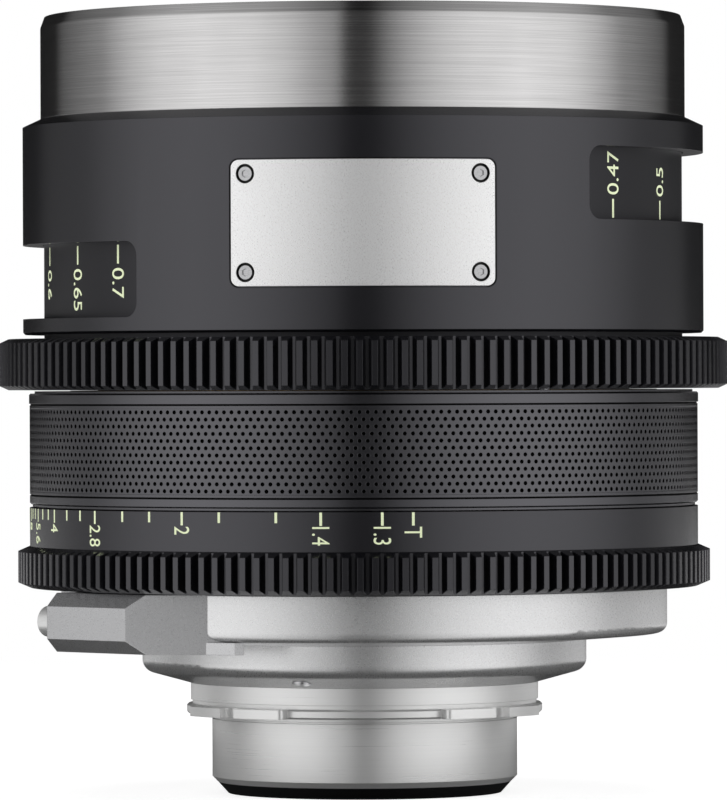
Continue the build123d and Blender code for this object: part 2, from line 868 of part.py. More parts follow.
def make_thrust_rings():
    rear_low = neck_top_z - thrust_groove_depth
    front_low = housing_web_z - thrust_groove_depth
    rear = tube(thrust_outer, thrust_inner, rear_low, gear_bottom_z - run_gap)
    front = tube(cam_sleeve_radius + ring_gap, cam_sleeve_bore + run_gap, front_low, housing_web_z)
    return [rear, front]


def make_stop_pin():
    return upright(stop_radius, neck_top_z - stop_sink, gear_bottom_z + stop_height, stop_circle, stop_turn)


# Focus ring: gear ring, scale sleeve inside the front housing, and cam sleeve
gear_web = 3.0
cam_flange = 2.0
stop_groove_depth = 2.0
gear_web_z = gear_bottom_z + gear_web


def make_focus_gear():
    tip = focus_gear_radius
    neck = tip - gear_chamfer_radial
    blank = turned([
        (cam_sleeve_radius + seat_gap, gear_bottom_z),
        (neck, gear_bottom_z),
        (tip, gear_bottom_z + gear_chamfer_axial),
        (tip, gear_top_z - gear_chamfer_axial),
        (neck, gear_top_z),
        (scale_sleeve_radius + seat_gap, gear_top_z),
        (scale_sleeve_radius + seat_gap, gear_web_z),
        (cam_sleeve_radius + seat_gap, gear_web_z),
    ])
    body = toothed(blank, tip, gear_bottom_z, gear_top_z)
    half = stop_radius + run_gap
    spare = degrees(run_gap / stop_circle)
    first = stop_turn - focus_near_angle - spare
    last = stop_turn + focus_back_angle + spare
    low = gear_bottom_z - overrun
    top = gear_bottom_z + stop_groove_depth
    body -= arc_sector(stop_circle + half, stop_circle - half, low, top, first, last)
    for angle in (first, last):
        body -= upright(half, low, top, stop_circle, angle)
    return body


def make_scale_sleeve():
    return tube(scale_sleeve_radius, scale_sleeve_bore, gear_web_z, housing_web_z - ring_gap)


def helix_slot(first):
    """A slot through the cam sleeve that climbs at the same rate all the way round."""
    middle_radius = (cam_sleeve_bore + cam_sleeve_radius) / 2
    low = roller_z - focus_drop
    # Seen from outside the slot falls as the angle grows, so it is a left-handed helix
    path = Pos(0, 0, low) * Helix(360 * travel_per_degree, focus_travel, middle_radius, lefthand=True)
    depth = cam_sleeve_wall + 2 * overrun
    section = Plane(origin=(middle_radius, 0, low), x_dir=(1, 0, 0), z_dir=path.edges()[0] % 0)
    slot = sweep(section * Rectangle(depth, cam_slot_width), path=path, is_frenet=True)
    rod = Pos(0, 0, middle_radius - depth / 2) * Cylinder(cam_slot_width / 2, depth, align=upwards)
    rod = Rot(0, 90, 0) * rod
    slot += Pos(0, 0, low) * rod
    slot += Rot(0, 0, -focus_throw) * Pos(0, 0, low + focus_travel) * rod
    return Rot(0, 0, first + focus_back_angle - 90) * slot


def make_cam_sleeve():
    body = turned([
        (cam_sleeve_bore, gear_bottom_z + ring_gap),
        (cam_sleeve_radius, gear_bottom_z + ring_gap),
        (cam_sleeve_radius, gear_web_z),
        (cam_flange_radius, gear_web_z),
        (cam_flange_radius, gear_web_z + cam_flange),
        (cam_sleeve_radius, gear_web_z + cam_flange),
        (cam_sleeve_radius, cam_sleeve_top_z),
        (cam_sleeve_bore, cam_sleeve_top_z),
    ])
    for angle in spread(follower_count, follower_turn):
        body -= helix_slot(angle)
    return body


# Focusing group: a cell that slides in the barrel on three rollers
focus_cell_relief = 0.8
focus_land_width = 9.0
roller_seat_depth = 0.9
roller_length = 7.0
roller_screw_radius = 0.8
roller_screw_reach = 5.0
roller_head_radius = 1.35
roller_head_height = 1.1
focus_cell_radius = barrel_bore - run_gap
roller_base = focus_cell_radius - roller_seat_depth
roller_top = roller_base + roller_length
roller_screw_tip = roller_base - roller_screw_reach


def make_focus_cell():
    wide = focus_front["radius"] + seat_gap
    mid = focus_middle["radius"] + seat_gap
    narrow = focus_rear["radius"] + seat_gap
    mouth = focus_rear["radius"] - lens_lip
    relief = focus_cell_radius - focus_cell_relief
    land = focus_cell_high - 2 * focus_land_width
    body = turned([
        (mouth, focus_cell_low),
        (focus_cell_radius, focus_cell_low),
        (focus_cell_radius, focus_cell_low + focus_land_width),
        (relief, focus_cell_low + focus_land_width + focus_cell_relief),
        (relief, land - focus_cell_relief),
        (focus_cell_radius, land),
        (focus_cell_radius, focus_cell_high),
        (wide, focus_cell_high),
        (wide, focus_front["low"] - seat_gap),
        (wide - lens_lip, back_face_z(focus_front, wide - lens_lip) - seat_gap),
        (mid, focus_middle["low"] + focus_middle["edge"] + lens_lip),
        (mid, focus_middle["low"] - seat_gap),
        (narrow, back_face_z(focus_middle, narrow) - seat_gap),
        (narrow, focus_rear["low"]),
        (mouth, focus_rear["low"]),
    ])
    hole = roller_screw_radius + seat_gap
    for angle in spread(follower_count, follower_turn):
        body -= radial(roller_radius + ring_gap, roller_base, barrel_radius, angle, roller_z)
        body -= radial(hole, roller_screw_tip - seat_gap, barrel_radius, angle, roller_z)
    return body


def make_rollers():
    rollers = []
    hole = roller_screw_radius + seat_gap
    for angle in spread(follower_count, follower_turn):
        body = radial(roller_radius, roller_base, roller_top, angle, roller_z)
        rollers.append(body - radial(hole, roller_base - overrun, roller_top + overrun, angle, roller_z))
    return rollers


def make_roller_screws():
    screws = []
    head_top = roller_top + roller_head_height
    head_width = 2 * (roller_head_radius + seat_gap)
    for angle in spread(follower_count, follower_turn):
        body = radial(roller_screw_radius, roller_screw_tip, roller_top, angle, roller_z)
        body += radial(roller_head_radius, roller_top, head_top, angle, roller_z)
        x, y = aim(angle)
        across = Plane(origin=(head_top * x, head_top * y, roller_z), x_dir=(0, 0, 1), z_dir=(-x, -y, 0))
        slot = across * Rectangle(head_width, screw_slot_width)
        screws.append(body - extrude(slot, roller_head_height / 2))
    return screws


# Iris. A leaf's points are counted from the leaf's own pivot at +X, fully open.
cam_ring_step = 0.6
cover_step = 0.3
cam_slot_steps = 12
cam_slot_spare_angle = 1.5


def polar(radius, angle):
    return radius * cos(radians(angle)), radius * sin(radians(angle))


def blade_turned(point, angle):
    """A point of a leaf after the leaf has turned about its pivot from fully open."""
    x, y = point[0] - blade_pivot_radius, point[1]
    c, s = cos(radians(angle)), sin(radians(angle))
    return blade_pivot_radius + c * x - s * y, s * x + c * y


def make_iris_plate():
    plate = tube(barrel_bore - seat_gap, blade_inner_radius - ring_gap, iris_plate_z, plate_top_z)
    hole = Cylinder(blade_pivot_pin_radius + seat_gap, iris_plate_thickness + overrun)
    for angle in spread(blade_count, 0):
        x, y = polar(blade_pivot_radius, angle)
        plate -= Pos(x, y, iris_plate_z + iris_plate_thickness / 2) * hole
    return plate


def make_blade(n):
    middle = (blade_root_angle + blade_sweep) / 2
    throat_middle = (blade_throat_angle + blade_sweep) / 2
    outer = blade_outer_radius
    inner = blade_inner_radius
    root = polar(outer, blade_root_angle)
    tip = polar(outer, blade_sweep)
    inner_tip = polar(inner, blade_sweep)
    throat = polar(inner, blade_throat_angle)
    edges = [
        ThreePointArc(root, polar(outer, middle), tip),
        Line(tip, inner_tip),
        ThreePointArc(inner_tip, polar(inner, throat_middle), throat),
        Line(throat, root),
    ]
    pin_x, pin_y = polar(blade_pin_circle, blade_pin_angle)
    outline = make_face(Curve() + edges)
    outline += Pos(blade_pivot_radius, 0) * Circle(blade_lobe_radius)
    outline += Pos(pin_x, pin_y) * Circle(blade_ear_radius)
    level = plate_top_z + run_gap + n * blade_pitch
    pin_top = cam_ring_z + cam_ring_thickness - ring_gap
    pin_low = iris_plate_z + ring_gap
    blade = Pos(0, 0, level) * extrude(outline, blade_thickness)
    blade += Pos(pin_x, pin_y, level) * Cylinder(blade_pin_radius, pin_top - level, align=upwards)
    pivot = Cylinder(blade_pivot_pin_radius, level + blade_thickness - pin_low, align=upwards)
    blade += Pos(blade_pivot_radius, 0, pin_low) * pivot
    shut = Rot(0, 0, blade_ratio * iris_open_angle) * Pos(-blade_pivot_radius, 0, 0) * blade
    return Rot(0, 0, n * 360 / blade_count) * Pos(blade_pivot_radius, 0, 0) * shut


def make_cam_ring():
    """The ring whose slots carry the leaves' pins, each slot drawn through the pin's path."""
    bore = blade_inner_radius + cam_ring_step
    ring = tube(barrel_bore - run_gap, bore, cam_ring_z, cam_ring_z + cam_ring_thickness)
    first = -iris_open_angle - cam_slot_spare_angle
    span = iris_open_angle + iris_closed_angle + 2 * cam_slot_spare_angle
    points = []
    for n in range(cam_slot_steps + 1):
        ring_angle = first + span * n / cam_slot_steps
        pin = polar(blade_pin_circle, blade_pin_angle)
        x, y = blade_turned(pin, blade_ratio * (ring_angle + iris_open_angle))
        c, s = cos(radians(ring_angle)), sin(radians(ring_angle))
        points.append((c * x + s * y, c * y - s * x))
    half = blade_pin_radius + run_gap
    outline = trace(Spline(*points), 2 * half)
    outline += Pos(*points[0]) * Circle(half) + Pos(*points[-1]) * Circle(half)
    slot = Pos(0, 0, cam_ring_z - overrun) * extrude(outline, cam_ring_thickness + 2 * overrun)
    for angle in spread(blade_count, 0):
        ring -= Rot(0, 0, angle) * slot
    outer = barrel_bore + overrun
    return ring - radial(iris_pin_radius + seat_gap, iris_pin_foot, outer, iris_pin_turn, cam_ring_middle_z)


def make_iris_cover():
    top = cover_z + iris_cover_thickness
    return tube(barrel_bore - seat_gap, blade_inner_radius + cover_step, cover_z, top)


def make_iris_pin():
    return radial(iris_pin_radius, iris_pin_foot, iris_pin_head, iris_pin_turn, cam_ring_middle_z)


def make_iris_scale_ring():
    low = iris_bottom_z + ring_gap
    web_z = iris_top_z - iris_web_thickness
    body = turned([
        (iris_shell_bore, low),
        (iris_shell_radius, low),
        (iris_shell_radius, iris_shoulder_z),
        (iris_band_radius, iris_shoulder_z),
        (iris_band_radius, iris_top_z),
        (barrel_radius + run_gap, iris_top_z),
        (barrel_radius + run_gap, web_z),
        (iris_shell_bore, web_z),
    ])
    hole = iris_pin_radius + seat_gap
    return body - radial(hole, barrel_radius, iris_pin_head + seat_gap, iris_pin_turn, cam_ring_middle_z)


def make_iris_gear():
    tip = iris_gear_radius
    blank = turned([
        (iris_shell_radius + seat_gap, iris_bottom_z),
        (iris_band_radius, iris_bottom_z),
        (tip, iris_bottom_z + iris_chamfer_axial),
        (tip, iris_shoulder_z - iris_chamfer_axial),
        (iris_band_radius, iris_shoulder_z),
        (iris_shell_radius + seat_gap, iris_shoulder_z),
    ])
    return toothed(blank, tip, iris_bottom_z, iris_shoulder_z)


# Front housing with its two scale windows and the name plate
housing_edge = 0.4
housing_lip_step = 1.0
window_start = 40.0
window_end = 140.0
window_corner = 2.5
left_window_rise = 2.75
left_window_height = 13.0
right_window_drop = 4.75
right_window_height = 12.55
plate_width = 44.7
plate_height = 21.4
plate_corner = 1.35
plate_rise = 18.45
plate_thickness = 1.2
plate_proud = 0.2
plate_shadow = 0.25
plate_screw_side_inset = 2.1
plate_screw_end_inset = 2.35
plate_screw_radius = 0.75
plate_head_radius = 1.2
plate_head_height = 0.6
plate_counterbore = 1.65
plate_sink = 0.7
plate_screw_length = 1.9
ring_screw_count = 6
ring_screw_first = 0.0
ring_screw_step = 1.9
ring_screw_length = 4.5
housing_lip_bore = barrel_bore + housing_lip_step
plate_face_radius = housing_radius + plate_proud
plate_screw_seat = plate_face_radius - plate_sink
plate_middle_z = housing_bottom_z + plate_rise
ring_screw_circle = barrel_radius + ring_screw_step
ring_screw_tip_z = ring_web_top_z - ring_screw_length


def window(low, height, start, end):
    cutter = arc_sector(housing_radius + overrun, housing_bore - run_gap, low, low + height, start, end)
    ends = [edge for edge in cutter.edges().filter_by(GeomType.LINE) if abs((edge % 0).Z) < 0.5]
    return fillet(ends, window_corner)


def name_plate_block(grow, inner, outer):
    shape = RectangleRounded(plate_width + 2 * grow, plate_height + 2 * grow, plate_corner + grow)
    block = extrude(Plane.XZ * Pos(0, plate_middle_z) * shape, outer + overrun)
    return block & tube(outer, inner, housing_bottom_z, housing_top_z)


def plate_screw_spots():
    turn = degrees((plate_width / 2 - plate_screw_side_inset) / housing_radius)
    rise = plate_height / 2 - plate_screw_end_inset
    return [(side * turn, plate_middle_z + end * rise) for side in (-1, 1) for end in (-1, 1)]


def make_front_housing():
    body = turned([
        (housing_bore, housing_bottom_z),
        (housing_radius - housing_edge, housing_bottom_z),
        (housing_radius, housing_bottom_z + housing_edge),
        (housing_radius, shoulder_z),
        (front_ring_radius, housing_top_z),
        (housing_lip_bore, housing_top_z),
        (housing_lip_bore, barrel_top_z),
        (barrel_radius + seat_gap, barrel_top_z),
        (barrel_radius + seat_gap, housing_web_z),
        (housing_bore, housing_web_z),
    ])
    body -= window(housing_bottom_z + left_window_rise, left_window_height, -window_end, -window_start)
    right_low = shoulder_z - right_window_drop - right_window_height
    body -= window(right_low, right_window_height, window_start, window_end)
    outer = housing_radius + overrun
    body -= name_plate_block(plate_shadow, plate_face_radius - plate_thickness - seat_gap, outer)
    tip = plate_screw_seat - plate_screw_length - seat_gap
    for angle, height in plate_screw_spots():
        body -= radial(plate_screw_radius + seat_gap, tip, outer, angle, height)
    hole = screw_radius + seat_gap
    for angle in spread(ring_screw_count, ring_screw_first):
        low = ring_screw_tip_z - seat_gap
        body -= upright(hole, low, housing_top_z + overrun, ring_screw_circle, angle)
    return body


def make_name_plate():
    body = name_plate_block(0, plate_face_radius - plate_thickness, plate_face_radius)
    outer = plate_face_radius + overrun
    for angle, height in plate_screw_spots():
        body -= radial(plate_counterbore, plate_screw_seat, outer, angle, height)
        body -= radial(plate_screw_radius + seat_gap, housing_bore, outer, angle, height)
    return body


def make_plate_screws():
    screws = []
    floor = plate_screw_seat
    top = floor + plate_head_height
    for angle, height in plate_screw_spots():
        body = radial(plate_head_radius, floor, top, angle, height)
        body += radial(plate_screw_radius, floor - plate_screw_length, floor, angle, height)
        x, y = aim(angle)
        socket = Plane(origin=(top * x, top * y, height), x_dir=(0, 0, 1), z_dir=(-x, -y, 0))
        screws.append(body - extrude(socket * RegularPolygon(screw_socket_radius, 6), plate_head_height / 2))
    return screws


# Front ring, front cell and bezel
filter_wall = 5.0
filter_length = 6.5
filter_lead = 0.4
bezel_seat_step = 1.1
ring_crown_step = 0.7
ring_crown_drop = 1.9
ring_crown_round = 1.2
front_cell_flange_gap = 0.7
bezel_steps = 7
bezel_drop = 0.5
bezel_rim = 1.5
bezel_overlap = 1.1
bezel_nose = 0.4
filter_radius = front_ring_radius - filter_wall
bezel_bore = filter_radius - bezel_seat_step
front_cell_flange_radius = bezel_bore - front_cell_flange_gap


def make_front_ring():
    body = turned([
        (housing_lip_bore, housing_top_z),
        (front_ring_radius, housing_top_z),
        (front_ring_radius, front_z - ring_crown_drop, ring_crown_round),
        (front_ring_radius - ring_crown_step, front_z),
        (filter_radius + filter_lead, front_z),
        (filter_radius, front_z - filter_lead),
        (filter_radius, front_z - filter_length),
        (bezel_bore, front_z - filter_length),
        (bezel_bore, ring_web_top_z),
        (housing_lip_bore, ring_web_top_z),
    ])
    for angle in spread(ring_screw_count, ring_screw_first):
        body -= flat_screw_hole(ring_web_top_z, ring_screw_length, ring_screw_circle, angle, False)
    return body


def make_ring_screws():
    places = spread(ring_screw_count, ring_screw_first)
    return [flat_screw(ring_web_top_z, ring_screw_length, ring_screw_circle, a, False) for a in places]


def make_front_cell():
    front = front_lens["radius"] + seat_gap
    second = second_lens["radius"] + seat_gap
    outer = barrel_bore - seat_gap
    return turned([
        (second - lens_lip, front_cell_low_z),
        (outer, front_cell_low_z),
        (outer, ring_web_top_z),
        (front_cell_flange_radius, ring_web_top_z),
        (front_cell_flange_radius, front_cell_top_z),
        (front, front_cell_top_z),
        (front, front_lens["low"]),
        (second, front_lens["low"]),
        (second, second_lens["low"]),
        (second - lens_lip, second_lens["low"]),
    ])


def make_bezel():
    """The stepped ring between the filter thread and the glass, which keeps stray light off it."""
    outer = bezel_bore - run_gap
    spigot = front_lens["radius"]
    inner = spigot - bezel_overlap
    top = front_z - filter_length - bezel_drop
    points = [
        (inner, front_face_z(front_lens, inner) + seat_gap),
        (spigot, front_face_z(front_lens, inner) + seat_gap),
        (spigot, front_cell_top_z),
        (outer, front_cell_top_z),
        (outer, top),
        (outer - bezel_rim, top),
    ]
    rise = (top - front_cell_top_z - bezel_nose) / bezel_steps
    run = (outer - bezel_rim - inner) / bezel_steps
    for n in range(bezel_steps):
        points.append((outer - bezel_rim - n * run, top - (n + 1) * rise))
        points.append((outer - bezel_rim - (n + 1) * run, top - (n + 1) * rise))
    return turned(points)


pieces = {
    "front_ring": make_front_ring,
    "front_ring_screws": make_ring_screws,
    "front_bezel": make_bezel,
    "front_cell": make_front_cell,
    "front_housing": make_front_housing,
    "name_plate": make_name_plate,
    "name_plate_screws": make_plate_screws,
    "main_barrel": make_main_barrel,
    "focus_thrust_rings": make_thrust_rings,
    "focus_stop_pin": make_stop_pin,
    "grip_sleeve": make_grip_sleeve,
    "grip_sleeve_screws": make_grip_screws,
    "rear_housing": make_rear_housing,
    "rear_housing_screws": make_housing_screws,
    "data_port_housing": make_port_block,
    "data_port_socket": make_socket,
    "data_port_insulator": make_insulator,
    "data_port_contacts": make_contacts,
    "mount_shim": make_shim,
    "mount": make_mount,
    "mount_screws": make_mount_screws,
    "rear_cell": make_rear_cell,
    "rear_cell_screws": make_rear_cell_screws,
    "rear_retaining_ring": make_rear_retainer,
    "rear_lens_spacer": make_rear_spacer,
    "rear_baffle": make_rear_baffle,
    "iris_base_plate": make_iris_plate,
    "iris_cover_ring": make_iris_cover,
    "focus_gear_ring": make_focus_gear,
    "focus_scale_sleeve": make_scale_sleeve,
    "focus_cam_sleeve": make_cam_sleeve,
    "focus_cell": make_focus_cell,
    "focus_rollers": make_rollers,
    "focus_roller_screws": make_roller_screws,
    "iris_gear_ring": make_iris_gear,
    "iris_scale_ring": make_iris_scale_ring,
    "iris_cam_ring": make_cam_ring,
    "iris_drive_pin": make_iris_pin,
}
lenses = {
    "front_element": front_lens,
    "second_element": second_lens,
    "focus_front_element": focus_front,
    "focus_middle_element": focus_middle,
    "focus_rear_element": focus_rear,
    "rear_front_element": rear_front,
    "rear_middle_element": rear_middle,
    "rear_element": rear_last,
}

for piece_name, make_piece in pieces.items():
    save(piece_name, make_piece())
for lens_name, lens_sizes in lenses.items():
    save(lens_name, make_lens(lens_sizes))
for leaf in range(blade_count):
    save(f"iris_blade_{leaf + 1:02d}", make_blade(leaf))
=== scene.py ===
import bpy
import json
from math import atan2, cos, pi, radians, sin
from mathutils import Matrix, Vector


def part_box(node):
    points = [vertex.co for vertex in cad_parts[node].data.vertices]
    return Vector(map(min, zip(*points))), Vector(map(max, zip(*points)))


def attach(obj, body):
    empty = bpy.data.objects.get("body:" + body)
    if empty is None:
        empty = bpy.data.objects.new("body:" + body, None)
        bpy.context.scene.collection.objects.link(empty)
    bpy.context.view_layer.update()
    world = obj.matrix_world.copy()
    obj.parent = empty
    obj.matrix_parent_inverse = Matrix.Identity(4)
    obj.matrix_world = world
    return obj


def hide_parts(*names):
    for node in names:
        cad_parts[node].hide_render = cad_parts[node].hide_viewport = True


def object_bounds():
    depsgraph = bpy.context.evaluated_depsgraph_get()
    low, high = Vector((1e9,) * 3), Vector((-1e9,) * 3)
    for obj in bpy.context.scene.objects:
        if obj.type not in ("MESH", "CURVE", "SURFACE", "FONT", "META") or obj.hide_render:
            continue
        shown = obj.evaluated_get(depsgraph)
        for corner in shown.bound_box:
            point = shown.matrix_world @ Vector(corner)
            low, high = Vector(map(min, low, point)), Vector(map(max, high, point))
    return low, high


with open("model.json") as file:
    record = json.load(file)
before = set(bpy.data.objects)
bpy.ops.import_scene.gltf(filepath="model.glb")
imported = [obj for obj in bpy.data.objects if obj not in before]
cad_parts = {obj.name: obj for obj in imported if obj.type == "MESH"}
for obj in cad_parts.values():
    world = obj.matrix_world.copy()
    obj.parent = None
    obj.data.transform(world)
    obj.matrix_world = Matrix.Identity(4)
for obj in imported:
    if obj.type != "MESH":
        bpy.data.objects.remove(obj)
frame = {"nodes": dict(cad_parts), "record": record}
cadLow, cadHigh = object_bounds()
mm = 0.001
print("frame loaded:", len(frame["nodes"]), "nodes")


def radiusOf(node):
    low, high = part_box(node)
    return max(high.x, -low.x, high.y, -low.y)


def topOf(node):
    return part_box(node)[1].z


def footOf(node):
    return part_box(node)[0].z


def withAlpha(value):
    return (*value, 1) if isinstance(value, tuple) else value


# Shader maths: a Wire is one output socket, and sums on it add Math nodes
class Wire:
    def __init__(self, finish, socket):
        self.finish = finish
        self.socket = socket

    def math(self, operation, other, swap=False):
        first, second = (other, self) if swap else (self, other)
        return self.finish.node("ShaderNodeMath", {"operation": operation}, {0: first, 1: second})

    def __add__(self, other):
        return self.math("ADD", other)

    def __sub__(self, other):
        return self.math("SUBTRACT", other)

    def __rsub__(self, other):
        return self.math("SUBTRACT", other, True)

    def __mul__(self, other):
        return self.math("MULTIPLY", other)

    def __truediv__(self, other):
        return self.math("DIVIDE", other)

    def __pow__(self, other):
        return self.math("POWER", other)

    def __gt__(self, other):
        return self.math("GREATER_THAN", other)

    __radd__ = __add__
    __rmul__ = __mul__


# Values that the finishes share
grainLook = {
    "radialShare": 0.83, "lineShare": 0.75, "grainShare": 0.8, "lineDepth": 0.02 * mm,
    "grainDepth": 0.03 * mm, "paintDepth": 0.02 * mm, "fineDetail": 3.0, "edgeSamples": 4,
}


class Finish:
    def __init__(self, owner, output="ShaderNodeOutputMaterial"):
        self.owner = owner
        owner.use_nodes = True
        self.tree = owner.node_tree
        self.tree.nodes.clear()
        self.output = self.tree.nodes.new(output)

    def node(self, kind, settings=None, inputs=None, output=0):
        made = self.tree.nodes.new(kind)
        for key, value in (settings or {}).items():
            if key == "stops":
                ramp = made.color_ramp.elements
                for place, level in value:
                    stop = ramp[0] if place == 0 else ramp[-1] if place == 1 else ramp.new(place)
                    stop.color = (level, level, level, 1)
            else:
                setattr(made, key, value)
        for key, value in (inputs or {}).items():
            if isinstance(value, Wire):
                self.tree.links.new(value.socket, made.inputs[key])
            elif value is not None:
                made.inputs[key].default_value = value
        return Wire(self, made.outputs[output])

    def place(self):
        return self.node("ShaderNodeTexCoord", output="Object")

    def axes(self):
        split = self.node("ShaderNodeSeparateXYZ", {}, {0: self.place()})
        return [Wire(self, socket) for socket in split.socket.node.outputs]

    def spots(self, perMetre, detail=2.0):
        return self.node("ShaderNodeTexNoise", {}, {
            "Vector": self.place(), "Scale": perMetre, "Detail": detail,
        })

    # Fine lines that run round the optical axis, as a lathe or a brush leaves them
    def turnedLines(self, perMetre, streak):
        x, y, z = self.axes()
        radius = (x * x + y * y) ** 0.5
        across = z * perMetre + radius * (grainLook["radialShare"] * perMetre)
        lines = self.node("ShaderNodeCombineXYZ", {}, {0: x * streak, 1: y * streak, 2: across})
        return self.node("ShaderNodeTexNoise", {}, {
            "Vector": lines, "Scale": 1.0, "Detail": grainLook["fineDetail"],
        })

    def blend(self, factor, first, second):
        colours = {"Factor": factor, 6: withAlpha(first), 7: withAlpha(second)}
        return self.node("ShaderNodeMix", {"data_type": "RGBA"}, colours, 2)

    def smoothStep(self, value, start, end, low=0.0, high=1.0):
        return self.node("ShaderNodeMapRange", {"interpolation_type": "SMOOTHSTEP"}, {
            "Value": value, "From Min": start, "From Max": end, "To Min": low, "To Max": high,
        })

    def ray(self, label):
        return self.node("ShaderNodeLightPath", output=label)

    def bump(self, height, strength, distance, edge=0.0):
        base = None
        if edge:
            base = self.node("ShaderNodeBevel", {"samples": grainLook["edgeSamples"]}, {"Radius": edge})
        return self.node("ShaderNodeBump", {}, {
            "Height": height, "Strength": strength, "Distance": distance, "Normal": base,
        })

    def show(self, shader):
        self.tree.links.new(shader.socket, self.output.inputs["Surface"])
        return self.owner

    def surface(self, sockets):
        inputs = {label: withAlpha(value) for label, value in sockets.items()}
        return self.show(self.node("ShaderNodeBsdfPrincipled", {}, inputs))


def newFinish(name):
    return Finish(bpy.data.materials.new(name))


# Finishes
def brushedMetal(name, look):
    finish = newFinish(name)
    lines = finish.turnedLines(look["linesPerMetre"], look["streak"])
    cloud = finish.spots(look["cloudPerMetre"])
    tone = lines * grainLook["lineShare"] + cloud * (1 - grainLook["lineShare"])
    colour = finish.blend(tone, look["dark"], look["light"])
    roughness = tone * look["roughnessSpread"] + look["roughness"]
    normal = finish.bump(lines, look["bump"], grainLook["lineDepth"], look["edge"])
    return finish.surface({
        "Base Color": colour, "Roughness": roughness, "Metallic": look["metallic"], "Normal": normal,
    })


# With a radius given for painted shade, whatever lies nearer to the axis than that radius is coloured black,
# as painted shade
def blastedMetal(name, look):
    finish = newFinish(name)
    grain = finish.spots(look["grainPerMetre"], grainLook["fineDetail"])
    cloud = finish.spots(look["cloudPerMetre"])
    tone = grain * grainLook["grainShare"] + cloud * (1 - grainLook["grainShare"])
    colour = finish.blend(tone, look["dark"], look["light"])
    # Painted shade: below the given radius the colour turns black
    if "paintedShadeUnder" in look:
        x, y = finish.axes()[:2]
        colour = finish.blend((x * x + y * y) ** 0.5 > look["paintedShadeUnder"], look["black"], colour)
    roughness = grain * look["roughnessSpread"] + look["roughness"]
    normal = finish.bump(grain, look["bump"], grainLook["grainDepth"], look["edge"])
    return finish.surface({
        "Base Color": colour, "Roughness": roughness, "Metallic": look["metallic"], "Normal": normal,
        "Specular IOR Level": look["specular"], "IOR": look["ior"], "Specular Tint": look["sheenTint"],
    })


# The paint also emits its own colour at the given glow strength: painted brightness, as the marks are no lamp
def plainPaint(name, look):
    finish = newFinish(name)
    grain = finish.spots(look["grainPerMetre"])
    colour = finish.blend(grain, look["dark"], look["light"])
    normal = finish.bump(grain, look["bump"], grainLook["paintDepth"])
    return finish.surface({
        "Base Color": colour, "Roughness": look["roughness"], "Normal": normal, "Emission Color": colour,
        "Emission Strength": look["glow"],
    })


def coatedGlass(name, look):
    finish = newFinish(name)
    cloud = finish.spots(look["cloudPerMetre"])
    colour = finish.blend(cloud, look["dark"], look["light"])
    return finish.surface({
        "Base Color": colour, "Roughness": look["roughness"], "Transmission Weight": 1.0, "IOR": look["ior"],
        "Coat Weight": look["coat"], "Coat Tint": look["coatTint"], "Specular Tint": look["sheenTint"],
        "Specular IOR Level": look["specular"],
    })


brushLook = {
    "linesPerMetre": 9000, "streak": 45, "cloudPerMetre": 60, "bump": 0.35, "edge": 0.12 * mm,
    "metallic": 1.0,
}
steelLook = {
    "linesPerMetre": 7000, "streak": 25, "cloudPerMetre": 90, "bump": 0.2, "edge": 0.1 * mm, "metallic": 1.0,
}
blackLook = {
    "grainPerMetre": 9000, "cloudPerMetre": 40, "metallic": 0.0, "specular": 0.5, "ior": 1.75, "bump": 0.12,
    "edge": 0.12 * mm, "dark": (0.002, 0.002, 0.0025), "light": (0.007, 0.007, 0.009), "roughness": 0.16,
    "roughnessSpread": 0.12, "sheenTint": (0.94, 0.93, 1.0),
}
greyLook = {
    "grainPerMetre": 5200, "cloudPerMetre": 60, "metallic": 0.75, "specular": 0.5, "ior": 1.5, "bump": 0.25,
    "edge": 0.15 * mm, "dark": (0.6, 0.6, 0.61), "light": (1.0, 1.0, 1.0), "roughness": 0.22,
    "roughnessSpread": 0.14, "sheenTint": (1.0, 1.0, 1.0),
}

frontRingMetal = brushedMetal("brushedDark", {
    **brushLook, "dark": (0.36, 0.355, 0.355), "light": (0.88, 0.87, 0.87), "roughness": 0.07,
    "roughnessSpread": 0.1,
})
mountSteel = brushedMetal("turnedSteel", {
    **steelLook, "dark": (0.82, 0.82, 0.82), "light": (0.96, 0.96, 0.95), "roughness": 0.24,
    "roughnessSpread": 0.1, "bump": 0.1, "metallic": 0.6,
})
screwSteel = brushedMetal("screwSteel", {
    **steelLook, "dark": (0.36, 0.36, 0.37), "light": (0.66, 0.66, 0.67), "roughness": 0.16,
    "roughnessSpread": 0.1,
})
rawMetal = brushedMetal("turnedAluminium", {
    **steelLook, "dark": (0.50, 0.50, 0.52), "light": (0.72, 0.72, 0.74), "roughness": 0.26,
    "roughnessSpread": 0.14,
})
bronzeMetal = brushedMetal("turnedBronze", {
    **steelLook, "dark": (0.38, 0.25, 0.12), "light": (0.62, 0.45, 0.24), "roughness": 0.24,
    "roughnessSpread": 0.14,
})
goldMetal = brushedMetal("contactGold", {
    **steelLook, "dark": (0.75, 0.52, 0.20), "light": (0.90, 0.68, 0.30), "roughness": 0.14,
    "roughnessSpread": 0.08,
})
blackMetal = blastedMetal("blackAnodised", blackLook)
gripBlack = blastedMetal("gripBlack", {**blackLook, "specular": 0.8})
gearBlack = blastedMetal("gearBlack", {**blackLook, "light": (0.006, 0.006, 0.008), "edge": 0.1 * mm})
scaleBlack = blastedMetal("scaleBlack", {**blackLook, "light": (0.006, 0.006, 0.008), "roughness": 0.18})
